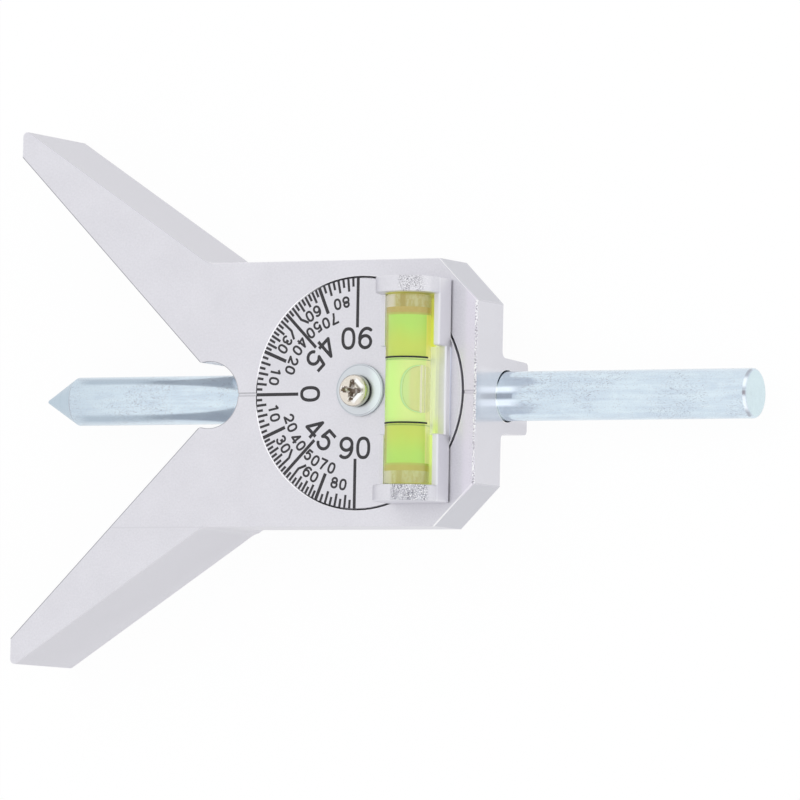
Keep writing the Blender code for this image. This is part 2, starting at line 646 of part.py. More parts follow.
def make_washer(material):
    inner = SCREW_RADIUS + WASHER_PLAY
    outer = WASHER_DIAMETER / 2
    edge = WASHER_EDGE_ROUND
    top = WASHER_Z + WASHER_THICKNESS
    profile = [(inner, top), (inner, WASHER_Z), (outer, WASHER_Z)]
    profile += arc_points((outer - edge, top - edge), edge, 0.0, math.pi / 2, 3)
    slip_x = WASHER_SLIP * math.cos(WASHER_SLIP_ANGLE)
    slip_y = WASHER_SLIP * math.sin(WASHER_SLIP_ANGLE)
    centre = (slip_x, SCREW_OFFSET + slip_y)
    return finish(turned("dial_washer", profile, SMALL_STEPS, "Z", centre), material)


def make_wave_washer(material):
    """Spring washer under the dial, whose waves hold the dial where it is set."""
    inner = DIAL_HOLE_RADIUS + SEAT_GAP
    outer = WAVE_WASHER_DIAMETER / 2
    low = RECESS_FLOOR_Z + SEAT_GAP
    high = WAVE_POCKET_Z - SEAT_GAP
    swing = (high - low - WAVE_WASHER_THICKNESS) / 2
    bm = bmesh.new()
    rings = []
    for step in range(SMALL_STEPS):
        angle = 2 * math.pi * step / SMALL_STEPS
        base = low + swing * (1 + math.sin(WAVE_COUNT * angle))
        ring = []
        for radius, z in ((inner, base), (outer, base),
                          (outer, base + WAVE_WASHER_THICKNESS), (inner, base + WAVE_WASHER_THICKNESS)):
            ring.append(bm.verts.new((radius * math.cos(angle), radius * math.sin(angle), z)))
        rings.append(ring)
    for index, ring in enumerate(rings):
        following = rings[(index + 1) % SMALL_STEPS]
        for i in range(4):
            j = (i + 1) % 4
            bm.faces.new((ring[i], following[i], following[j], ring[j]))
    return finish(add_object("wave_washer", mesh_from_bmesh("wave_washer", bm)), material)


def main():
    clear_scene()
    cast = make_material("satin_cast_aluminium", (0.72, 0.72, 0.75), 0.42, metallic=0.6)
    zinc = make_material("blue_zinc_plate", (0.62, 0.72, 0.80), 0.28, metallic=0.9)
    nickel = make_material("nickel_plate", (0.66, 0.64, 0.60), 0.25, metallic=1.0)
    spring = make_material("spring_steel", (0.35, 0.35, 0.36), 0.35, metallic=1.0)
    clear = make_material("clear_acrylic", (0.93, 0.97, 0.85), 0.05, transmission=0.9, alpha=0.5)
    green = make_material("green_level_liquid", (0.50, 0.80, 0.08), 0.05, transmission=0.5)
    amber = make_material("amber_sealant", (0.60, 0.42, 0.12), 0.35)
    make_head(cast)
    make_punch(zinc)
    dial = make_dial(cast)
    hang_on_axis("dial_axis", (0.0, 0.0, 0.0), DIAL_SETTING, [dial] + make_vial(clear, green, amber))
    make_screw(nickel)
    make_washer(zinc)
    make_wave_washer(spring)


main()
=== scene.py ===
"""Looks of a pipe center finder: a cast head with a vee fork, a dial with a spirit vial, and a punch.

Lengths are in metres, and MM turns millimetres into them. X runs along the punch, away from its point,
Y runs across the head, and Z runs up from the rest face to the dial. Inside the finishes the places and
widths are in millimetres, and angles are in radians.
"""

import functools
import json
import math

import bmesh
import bpy
from mathutils import Matrix, Vector
from mathutils.geometry import delaunay_2d_cdt

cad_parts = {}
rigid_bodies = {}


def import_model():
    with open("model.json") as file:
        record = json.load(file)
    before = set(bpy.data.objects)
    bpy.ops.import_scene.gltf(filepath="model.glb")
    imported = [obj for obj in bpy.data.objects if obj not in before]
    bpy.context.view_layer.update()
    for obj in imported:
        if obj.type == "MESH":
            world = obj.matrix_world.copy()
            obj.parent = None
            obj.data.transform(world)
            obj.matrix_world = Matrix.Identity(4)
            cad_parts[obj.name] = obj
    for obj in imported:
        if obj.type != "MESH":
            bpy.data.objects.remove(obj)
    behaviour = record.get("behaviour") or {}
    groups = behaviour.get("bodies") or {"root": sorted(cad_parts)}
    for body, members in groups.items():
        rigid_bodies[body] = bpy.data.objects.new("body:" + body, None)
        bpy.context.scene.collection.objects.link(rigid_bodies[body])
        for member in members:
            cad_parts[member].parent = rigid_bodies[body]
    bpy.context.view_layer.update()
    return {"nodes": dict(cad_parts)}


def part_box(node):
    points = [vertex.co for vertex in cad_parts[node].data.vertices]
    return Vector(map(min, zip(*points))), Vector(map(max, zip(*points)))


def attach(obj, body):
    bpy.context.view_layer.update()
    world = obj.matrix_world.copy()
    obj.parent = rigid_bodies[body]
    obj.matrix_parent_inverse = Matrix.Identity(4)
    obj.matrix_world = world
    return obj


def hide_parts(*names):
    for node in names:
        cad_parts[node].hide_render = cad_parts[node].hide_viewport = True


MM = 0.001
BLACK = (0.0, 0.0, 0.0)
WHITE = (1.0, 1.0, 1.0)

# Camera, with the object at the photograph's angle
CAMERA_YAW = math.radians(27.539)
CAMERA_PITCH = math.radians(3.802)
CAMERA_ROLL = math.radians(1.262)
CAMERA_OFFSET = (9.0214 * MM, -1.909 * MM)
CAMERA_RANGE = 1724.65 * MM
CAMERA_LENS = 351.17
SENSOR_WIDTH = 36.0
CAMERA_SHIFT = (0.00122, 0.00206)

# Places on the model that its boxes don't give
FACE_Z = 25.4 * MM
DIAL_SETTING = math.radians(0.47)
SCALE_SETTING = math.radians(0.27)
TUBE_BORE_RADIUS = 3.9 * MM

# More of them, in millimetres as the finishes use them
PUNCH_AXIS_Z = 9.9
HOLE_X = -37.7                  # apex hole's centre
HOLE_RADIUS = 7.45
VEE_POINT_X = -32.8             # where the seats would meet
CORNER_SUM = 49.3               # x + y on the rear corners' 45 degree faces
RECESS_X = 0.25                 # centre of the dial's recess
RECESS_RADIUS = 26.0
CROWN_REACH = 3.7               # a parabola that stands for the screw's domed top
CROWN_HEIGHT = 1.15

# Scale of the dial, in millimetres from the centre that it was cut about
SCALE_CENTRE_X = -0.49
MARK_START = 25.58
SHORT_END = 23.65
LONG_END = 22.65
HALFWAY_END = 19.2
MAIN_END = 14.55
TICK_WIDTH = 0.56
MAIN_WIDTH = 0.72
HALFWAY_WIDTH = 0.78
MARK_DEPTH = 0.05
MARK_HEIGHT = 0.02
COARSE_STEP = 22.5 / 8          # degrees between ticks near a quarter's ends
FINE_STEP = 45.0 / 20           # and in its middle
MAIN_TICKS = (0, 18, 36)        # places in a quarter's row of ticks
HALFWAY_TICKS = (8, 28)
BENT_TICKS = {16: -2.9, 20: 2.9}    # with the degrees that their ends lean by
BENT_SHORTER = 0.9
BENT_STEPS = [(0.45, 0.8), (1.0, 1.75)]     # share of the lean, and how far inward
SMALL_DIGIT = 2.6
SMALL_STROKE = 0.49
BIG_DIGIT = 5.0
BIG_STROKE = 0.73
DIGIT_SHAPE = 0.70              # width of a digit for a height of 1
DIGIT_GAP = 0.14
SMALL_LABELS = [
    ("10", 11.2, 20.9), ("20", 21.4, 17.5), ("30", 31.5, 21.2), ("40", 36.6, 17.8),
    ("50", 52.7, 17.85), ("60", 58.2, 21.0), ("70", 66.9, 17.5), ("80", 78.7, 20.4),
]
BIG_LABELS = [("45", 45.0, 12.55), ("90", 89.5, 12.15)]
ZERO_LABEL_RADIUS = 11.55

# Vial, in its own frame with Y along it
CORE_RADIUS = TUBE_BORE_RADIUS + 0.04 * MM
LIQUID_HALF = 16.3 * MM
SEAL_HALF = 18.0 * MM
PLUG_HALF = 20.75 * MM
LINE_APART = 7.2 * MM           # half the distance between the painted lines
LINE_OFFSET = -0.3 * MM
LINE_HALF = 0.2 * MM
LINE_INNER = 4.98 * MM
LINE_OUTER = 5.02 * MM
LINE_START = math.radians(2.0)
LINE_SWEEP = math.radians(300.0)
LINE_STEPS = 80
BUBBLE_ANGLE = math.radians(14.5)
BUBBLE_SWEEP = math.radians(72.0)
BUBBLE_HALF = 5.3 * MM
BUBBLE_DEPTH = 1.7 * MM
BUBBLE_POWER = 2.4              # 2 is an ellipse, more is squarer

# Floor
FLOOR_HALF = 3.0
FLOOR_Z = -0.02 * MM
FLOOR_GLOW = 0.95


# Materials as expressions

class Wire:
    """A value that varies over a surface. Arithmetic on it adds Math nodes to its finish."""

    def __init__(self, finish, socket):
        self.finish = finish
        self.socket = socket

    def math(self, operation, *values):
        return self.finish.node("Math", {"operation": operation}, dict(enumerate(values)))

    def __add__(self, other):
        return self.math("ADD", self, other)

    __radd__ = __add__

    def __sub__(self, other):
        return self.math("SUBTRACT", self, other)

    def __rsub__(self, other):
        return self.math("SUBTRACT", other, self)

    def __mul__(self, other):
        return self.math("MULTIPLY", self, other)

    __rmul__ = __mul__

    def __truediv__(self, other):
        return self.math("DIVIDE", self, other)

    def __rtruediv__(self, other):
        return self.math("DIVIDE", other, self)

    def __pow__(self, other):
        return self.math("POWER", self, other)

    def __abs__(self):
        return self.math("ABSOLUTE", self)

    def most(self, other):
        return self.math("MAXIMUM", self, other)

    def angle(self, across):
        """The angle of the point that lies this far up and that far across."""
        return self.math("ARCTAN2", self, across)

    def output(self, name):
        """Another output of the node that made this one."""
        return Wire(self.finish, self.socket.node.outputs[name])

    def rise(self, low, high):
        """0 below low, 1 above high and a smooth step between; low may be the larger one."""
        settings = {"interpolation_type": "SMOOTHSTEP"}
        if low < high:
            return self.finish.node("MapRange", settings, {0: self, 1: low, 2: high, 3: 0.0, 4: 1.0})
        return self.finish.node("MapRange", settings, {0: self, 1: high, 2: low, 3: 1.0, 4: 0.0})

    def band(self, middle, half, soft):
        """1 within half of middle, falling to 0 over soft."""
        return abs(self - middle).rise(half + soft, half)


class Finish:
    """A material that is written as expressions on its surface."""

    def __init__(self, name):
        self.material = bpy.data.materials.new(name)
        self.material.use_nodes = True
        self.tree = self.material.node_tree
        self.shader = self.tree.nodes["Principled BSDF"]

    def node(self, kind, settings=None, inputs=None, output=0):
        """A node of a kind, its settings first, then the values or links of its sockets."""
        made = self.tree.nodes.new("ShaderNode" + kind)
        for key, value in (settings or {}).items():
            setattr(made, key, value)
        for key, value in (inputs or {}).items():
            self.plug(made.inputs[key], value)
        return Wire(self, made.outputs[output])

    def plug(self, socket, value):
        """Links a wire to a socket, or puts a value on it."""
        if isinstance(value, Wire):
            self.tree.links.new(value.socket, socket)
        elif socket.type == "RGBA":
            socket.default_value = (*value[:3], 1.0)
        else:
            socket.default_value = value

    def set(self, **values):
        """Puts values or links on the surface shader; an underscore stands for a space."""
        for key, value in values.items():
            self.plug(self.shader.inputs[key.replace("_", " ")], value)

    def place(self):
        """The point on the surface in millimetres, in the model's own frame."""
        coordinates = self.node("TexCoord", output="Object")
        return self.vector("SCALE", coordinates, Scale=1 / MM)

    def axes(self, point):
        split = self.node("SeparateXYZ", None, {0: point}, "X")
        return split, split.output("Y"), split.output("Z")

    def vector(self, operation, *values, **named):
        inputs = dict(enumerate(values))
        inputs.update(named)
        return self.node("VectorMath", {"operation": operation}, inputs)

    def noise(self, point, scale, detail=2.0, roughness=0.5, distortion=0.0):
        """An irregular value about 0.5; its scale counts the waves in a millimetre."""
        inputs = {"Vector": point, "Scale": scale, "Detail": detail, "Roughness": roughness}
        inputs["Distortion"] = distortion
        return self.node("TexNoise", None, inputs, "Fac")

    def stretched(self, point, x, y, z):
        return self.vector("MULTIPLY", point, (x, y, z))

    def mix(self, share, first, second):
        """A colour: first where share is 0, second where it is 1."""
        return self.node("Mix", {"data_type": "RGBA"}, {0: share, 6: first, 7: second}, 2)

    def bump(self, height, strength, distance):
        inputs = {"Height": height, "Strength": strength, "Distance": distance}
        return self.node("Bump", None, inputs, "Normal")

    def edges(self, radius):
        """0 on open faces, rising towards 1 where two faces meet."""
        eased = self.node("Bevel", {"samples": 4}, {"Radius": radius}, "Normal")
        true = self.node("NewGeometry", output="Normal")
        agreement = self.vector("DOT_PRODUCT", eased, true).output("Value")
        return (1 - agreement).rise(0.02, 0.25)


def length(first, second):
    """The length of the diagonal over two sides that stand square to each other."""
    return (first * first + second * second) ** 0.5


def tint(red, green, blue):
    """A colour as it shows on a screen, from 0 to 255, as the linear light that shaders use."""
    linear = []
    for value in (red, green, blue):
        share = value / 255
        linear.append(share / 12.92 if share <= 0.04045 else ((share + 0.055) / 1.055) ** 2.4)
    return tuple(linear)


# Meshes

def finished_mesh(name, bm, matrix):
    """A mesh from the shape that was drawn, moved by a matrix."""
    bmesh.ops.transform(bm, matrix=matrix, verts=bm.verts)
    mesh = bpy.data.meshes.new(name)
    bm.to_mesh(mesh)
    bm.free()
    return mesh


def close_rings(bm, rings):
    """Faces between rings that follow each other, and one over each end; gives those two."""
    for first, second in zip(rings, rings[1:]):
        for i in range(len(first)):
            j = (i + 1) % len(first)
            bm.faces.new((first[i], second[i], second[j], first[j]))
    ends = [bm.faces.new(rings[0]), bm.faces.new(tuple(reversed(rings[-1])))]
    bmesh.ops.recalc_face_normals(bm, faces=bm.faces)
    return ends


def new_piece(name, mesh, finish, body, replaced=()):
    """A piece of the model that rides on a body and may stand for some of its nodes."""
    piece = bpy.data.objects.new(name, mesh)
    bpy.context.scene.collection.objects.link(piece)
    mesh.materials.append(finish.material)
    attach(piece, body)
    if replaced:
        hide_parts(*replaced)
    return piece


def refine_shading(obj, angle, finish):
    """Smooth shading across small angles, with true flats, on a mesh whose faces came apart."""
    mesh = obj.data
    if "custom_normal" in mesh.attributes:
        mesh.attributes.remove(mesh.attributes["custom_normal"])
    mesh.shade_smooth()
    weld = obj.modifiers.new("Join faces", "WELD")
    weld.merge_threshold = 0.002 * MM
    split = obj.modifiers.new("Keep corners", "EDGE_SPLIT")
    split.use_edge_angle = True
    split.use_edge_sharp = False
    split.split_angle = math.radians(angle)
    weigh = obj.modifiers.new("Keep flats", "WEIGHTED_NORMAL")
    weigh.weight = 80
    obj.data.materials.clear()
    obj.data.materials.append(finish.material)


# Drawn marks and numbers

def stroke_shapes(points, width, closed=False):
    """Rectangles along a line of one width, with a disc at each bend; all run counter-clockwise."""
    count = len(points)
    shapes = []
    for index in range(count if closed else count - 1):
        first = Vector(points[index])
        second = Vector(points[(index + 1) % count])
        onward = (second - first).normalized()
        side = Vector((-onward.y, onward.x)) * width / 2
        shapes.append([first - side, second - side, second + side, first + side])
        if closed or index > 0:
            disc = oval(tuple(first), (width / 2, width / 2), steps=12)
            shapes.append([Vector(point) for point in disc])
    return shapes


def flat_union(shapes):
    """The points and triangles of overlapping flat shapes, taken together."""
    corners = []
    faces = []
    for shape in shapes:
        faces.append(list(range(len(corners), len(corners) + len(shape))))
        corners += shape
    points, _, triangles, _, _, origins = delaunay_2d_cdt(corners, [], faces, 0, 1e-6)
    return points, [triangle for triangle, origin in zip(triangles, origins) if origin]


def oval(centre, reach, start=0.0, end=360.0, steps=28, fullness=1.0):
    """Points on an ellipse between two angles in degrees; a fullness under 1 squares it up."""
    points = []
    closed = abs(end - start) >= 360.0
    for step in range(steps if closed else steps + 1):
        angle = math.radians(start + (end - start) * step / steps)
        across = math.copysign(abs(math.cos(angle)) ** fullness, math.cos(angle))
        along = math.copysign(abs(math.sin(angle)) ** fullness, math.sin(angle))
        points.append((centre[0] + reach[0] * across, centre[1] + reach[1] * along))
    return points


def digit_lines(digit, width, stroke):
    """The centre lines of a digit of height 1, each with whether it is closed."""
    half = stroke / 2
    left = half
    right = width - half
    top = 1 - half
    low = half
    middle = width / 2
    reach = (right - left) / 2
    tall = (top - low) / 2
    if digit == "0":
        return [(oval((middle, 0.5), (reach, tall), steps=40, fullness=0.82), True)]
    if digit == "1":
        stem = middle + 0.1
        return [([(stem - 0.26, 0.74), (stem - 0.02, top), (stem, top), (stem, 0.0)], False)]
    if digit == "2":
        bowl = oval((middle, top - 0.27), (reach, 0.27), 168, -38)
        return [(bowl + [(left + 0.01, low), (width, low)], False)]
    if digit == "3":
        upper = oval((middle, top - 0.215), (reach * 0.9, 0.215), 158, -80)
        lower = oval((middle, low + 0.24), (reach, 0.245), 80, -158)
        waist = middle - 0.05
        return [(upper + [(waist, top - 0.43)], False), ([(waist, low + 0.485)] + lower, False)]
    if digit == "4":
        stem = width * 0.74
        bar = 0.25
        return [([(stem, 0.0), (stem, top), (left, bar), (width, bar)], False)]
    if digit == "5":
        bowl = oval((middle - 0.01, low + 0.27), (reach, 0.275), 128, -150)
        return [([(right - 0.02, top), (left + 0.1, top), (left + 0.03, 0.5)] + bowl, False)]
    if digit == "6":
        bowl = oval((middle, low + 0.265), (reach, 0.265), steps=30)
        back = oval((middle + 0.08, 0.47), (reach + 0.08, top - 0.47), 185, 52)
        return [(bowl, True), (back, False)]
    if digit == "7":
        return [([(0.0, top), (right - 0.02, top), (middle, 0.42), (middle - 0.12, 0.0)], False)]
    if digit == "8":
        upper = oval((middle, top - 0.21), (reach * 0.86, 0.21), steps=28)
        lower = oval((middle, low + 0.235), (reach, 0.235), steps=30)
        return [(upper, True), (lower, True)]
    turned = digit_lines("6", width, stroke)
    return [([(width - x, 1 - y) for x, y in line], closed) for line, closed in turned]


@functools.cache
def digit_flat(digit, stroke):
    """A digit of height 1 as points and triangles, worked out once for each weight."""
    shapes = []
    for line, closed in digit_lines(digit, DIGIT_SHAPE, stroke):
        shapes += stroke_shapes(line, stroke, closed)
    return flat_union(shapes)


def label_flats(text, height, stroke, centre, up):
    """A number about centre, with up as the direction of its digits' tops, in millimetres."""
    upward = Vector(up).normalized() * height
    reading = Vector((upward.y, -upward.x))
    pitch = DIGIT_SHAPE + DIGIT_GAP
    start = -(pitch * (len(text) - 1) + DIGIT_SHAPE) / 2
    flats = []
    for index, digit in enumerate(text):
        points, triangles = digit_flat(digit, stroke / height)
        corner = Vector(centre) + reading * (start + pitch * index) - upward / 2
        flats.append(([corner + reading * point.x + upward * point.y for point in points], triangles))
    return flats


def ink_mesh(name, flats, low, high):
    """Thin solids, each from the points and triangles of a flat shape in millimetres."""
    bm = bmesh.new()
    for points, triangles in flats:
        lower = [bm.verts.new((point.x * MM, point.y * MM, low)) for point in points]
        upper = [bm.verts.new((point.x * MM, point.y * MM, high)) for point in points]
        sides = set()
        for triangle in triangles:
            bm.faces.new([upper[i] for i in triangle])
            bm.faces.new([lower[i] for i in reversed(triangle)])
            for side in zip(triangle, triangle[1:] + triangle[:1]):
                if side[::-1] in sides:
                    sides.remove(side[::-1])
                else:
                    sides.add(side)
        for first, second in sides:
            bm.faces.new((lower[first], lower[second], upper[second], upper[first]))
    loose = [vert for vert in bm.verts if not vert.link_faces]
    bmesh.ops.delete(bm, geom=loose, context="VERTS")
    bmesh.ops.dissolve_limit(bm, angle_limit=math.radians(0.5), verts=bm.verts, edges=bm.edges)
    return finished_mesh(name, bm, Matrix.Rotation(SCALE_SETTING, 4, "Z"))


def on_scale(angle, radius):
    """A point of the dial's scale: angle in degrees from the fork's side, positive towards +Y."""
    turn = math.radians(angle)
    return (SCALE_CENTRE_X - radius * math.cos(turn), radius * math.sin(turn))


def scale_angles():
    """The angles of one quarter's ticks in degrees; they lie closer in its middle."""
    angles = [COARSE_STEP * step for step in range(9)]
    angles += [22.5 + FINE_STEP * step for step in range(1, 21)]
    angles += [67.5 + COARSE_STEP * step for step in range(1, 9)]
    return angles


def mark_start(angle):
    """Where a mark leaves the disc's edge, measured from the scale's centre."""
    turn = math.radians(angle)
    across = SCALE_CENTRE_X * math.cos(turn)
    return across + math.sqrt(across ** 2 + MARK_START ** 2 - SCALE_CENTRE_X ** 2)


def scale_marks():
    """Every graduation on both quarters, which share their first one."""
    flats = []
    for side in (1, -1):
        for index, angle in enumerate(scale_angles()):
            if index in MAIN_TICKS:
                end, width = MAIN_END, MAIN_WIDTH
            elif index in HALFWAY_TICKS:
                end, width = HALFWAY_END, HALFWAY_WIDTH
            elif index in BENT_TICKS:
                end, width = LONG_END - BENT_SHORTER, TICK_WIDTH
            else:
                end, width = (SHORT_END if index % 2 else LONG_END), TICK_WIDTH
            if index == 0 and side < 0:
                continue
            turned = side * angle
            line = [on_scale(turned, mark_start(turned)), on_scale(turned, end)]
            if index in BENT_TICKS:
                for share, inward in BENT_STEPS:
                    lean = side * BENT_TICKS[index] * share
                    line.append(on_scale(turned + lean, end - inward))
            flats.append(flat_union(stroke_shapes(line, width)))
    return flats


def scale_numbers():
    """Every number on both quarters, which share the zero."""
    flats = []
    places = [("0", 0.0, ZERO_LABEL_RADIUS, BIG_DIGIT, BIG_STROKE)]
    for side in (1, -1):
        for text, angle, radius in SMALL_LABELS:
            places.append((text, side * angle, radius, SMALL_DIGIT, SMALL_STROKE))
        for text, angle, radius in BIG_LABELS:
            places.append((text, side * angle, radius, BIG_DIGIT, BIG_STROKE))
    for text, angle, radius, height, stroke in places:
        turn = math.radians(angle)
        up = (math.cos(turn), -math.sin(turn))
        flats += label_flats(text, height, stroke, on_scale(angle, radius), up)
    return flats


def make_scale(finish):
    """The dial's marks and numbers, sunk a little into its face."""
    low = FACE_Z - MARK_DEPTH * MM
    high = FACE_Z + MARK_HEIGHT * MM
    for name, flats in (("scale_marks", scale_marks()), ("scale_numbers", scale_numbers())):
        new_piece(name, ink_mesh(name, flats, low, high), finish, "dial")


# Vial

def vial_frame():
    """The vial's middle, and its direction as it lies on the turned dial."""
    low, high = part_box("vial_tube")
    middle = (low + high) / 2
    along = Vector((-math.sin(DIAL_SETTING), math.cos(DIAL_SETTING), 0.0))
    return middle, along


def vial_matrix():
    """From the vial's own frame, with Y along it, to the model's."""
    middle, _ = vial_frame()
    return Matrix.Translation(middle) @ Matrix.Rotation(DIAL_SETTING, 4, "Z")


def core_mesh(name, start, end, radius_at, rings, steps):
    """A closed round body along Y from a radius that may vary with angle and place."""
    bm = bmesh.new()
    loops = []
    for ring in range(rings + 1):
        y = start + (end - start) * ring / rings
        loop = []
        for step in range(steps):
            angle = 2 * math.pi * step / steps
            radius = radius_at(angle, y)
            loop.append(bm.verts.new((radius * math.cos(angle), y, radius * math.sin(angle))))
        loops.append(loop)
    caps = close_rings(bm, loops)
    for face in bm.faces:
        face.smooth = face not in caps
    bmesh.ops.split_edges(bm, edges=[edge for cap in caps for edge in cap.edges])
    return finished_mesh(name, bm, vial_matrix())


def core_radius(angle, y):
    """The radius of a seal or plug, which is the same all round and all along."""
    return CORE_RADIUS


def liquid_radius(angle, y):
    """The liquid's radius, with the bubble as a hollow in it that ends near the horizontal."""
    turn = (angle - BUBBLE_ANGLE + math.pi) % (2 * math.pi) - math.pi
    apart = abs(turn / BUBBLE_SWEEP) ** BUBBLE_POWER + abs(y / BUBBLE_HALF) ** BUBBLE_POWER
    if apart >= 1:
        return CORE_RADIUS
    upright = min(1.0, max(0.0, math.degrees(angle + math.pi) % 360 - 181.0) / 10.0)
    return CORE_RADIUS - BUBBLE_DEPTH * (1 - apart) ** 0.6 * upright


def make_vial(liquid, seal, plug, line):
    """What fills the tube, which touches end to end, and the two lines round it."""
    body = core_mesh("level_liquid", -LIQUID_HALF, LIQUID_HALF, liquid_radius, 160, 144)
    new_piece("level_liquid", body, liquid, "dial", ["vial_liquid"])
    for side, label in ((1, "upper"), (-1, "lower")):
        name = "level_seal_" + label
        near, far = sorted((side * LIQUID_HALF, side * SEAL_HALF))
        body = core_mesh(name, near, far, core_radius, 2, 96)
        new_piece(name, body, seal, "dial", ["vial_seal_" + label])
        name = "level_plug_" + label
        near, far = sorted((side * SEAL_HALF, side * PLUG_HALF))
        body = core_mesh(name, near, far, core_radius, 2, 96)
        new_piece(name, body, plug, "dial", ["vial_plug_" + label])
        name = "level_line_" + label
        new_piece(name, ring_mesh(name, side * LINE_APART + LINE_OFFSET), line, "dial")


def ring_mesh(name, y):
    """A painted line round most of the tube, as a thin band that enters its wall a little."""
    front = y - LINE_HALF
    back = y + LINE_HALF
    section = ((LINE_INNER, front), (LINE_OUTER, front), (LINE_OUTER, back), (LINE_INNER, back))
    bm = bmesh.new()
    rings = []
    for step in range(LINE_STEPS + 1):
        angle = LINE_START + LINE_SWEEP * step / LINE_STEPS
        ring = []
        for radius, along in section:
            ring.append(bm.verts.new((radius * math.cos(angle), along, radius * math.sin(angle))))
        rings.append(ring)
    close_rings(bm, rings)
    return finished_mesh(name, bm, vial_matrix())


# Finishes

def cast_tone(make, place):
    """The colour of satin cast aluminium, with a fine speckle."""
    speckle = make.noise(place, 2.2, 4.0, 0.7)
    mottle = make.noise(place, 0.12, 3.0, 0.5)
    tone = 0.5 + (speckle - 0.5) * 1.1 + (mottle - 0.5) * 0.5
    return make.mix(tone.rise(0.0, 1.0), tint(215, 214, 220), tint(229, 228, 234))


def edge_glints(make, place, colour):
    """Painted highlights along the edges, here more and there less."""
    glint = make.noise(place, 3.5, 2.0, 0.6).rise(0.42, 0.6)
    share = make.edges(0.45 * MM) * (0.35 + 0.65 * glint)
    return make.mix(share, colour, tint(250, 250, 252))


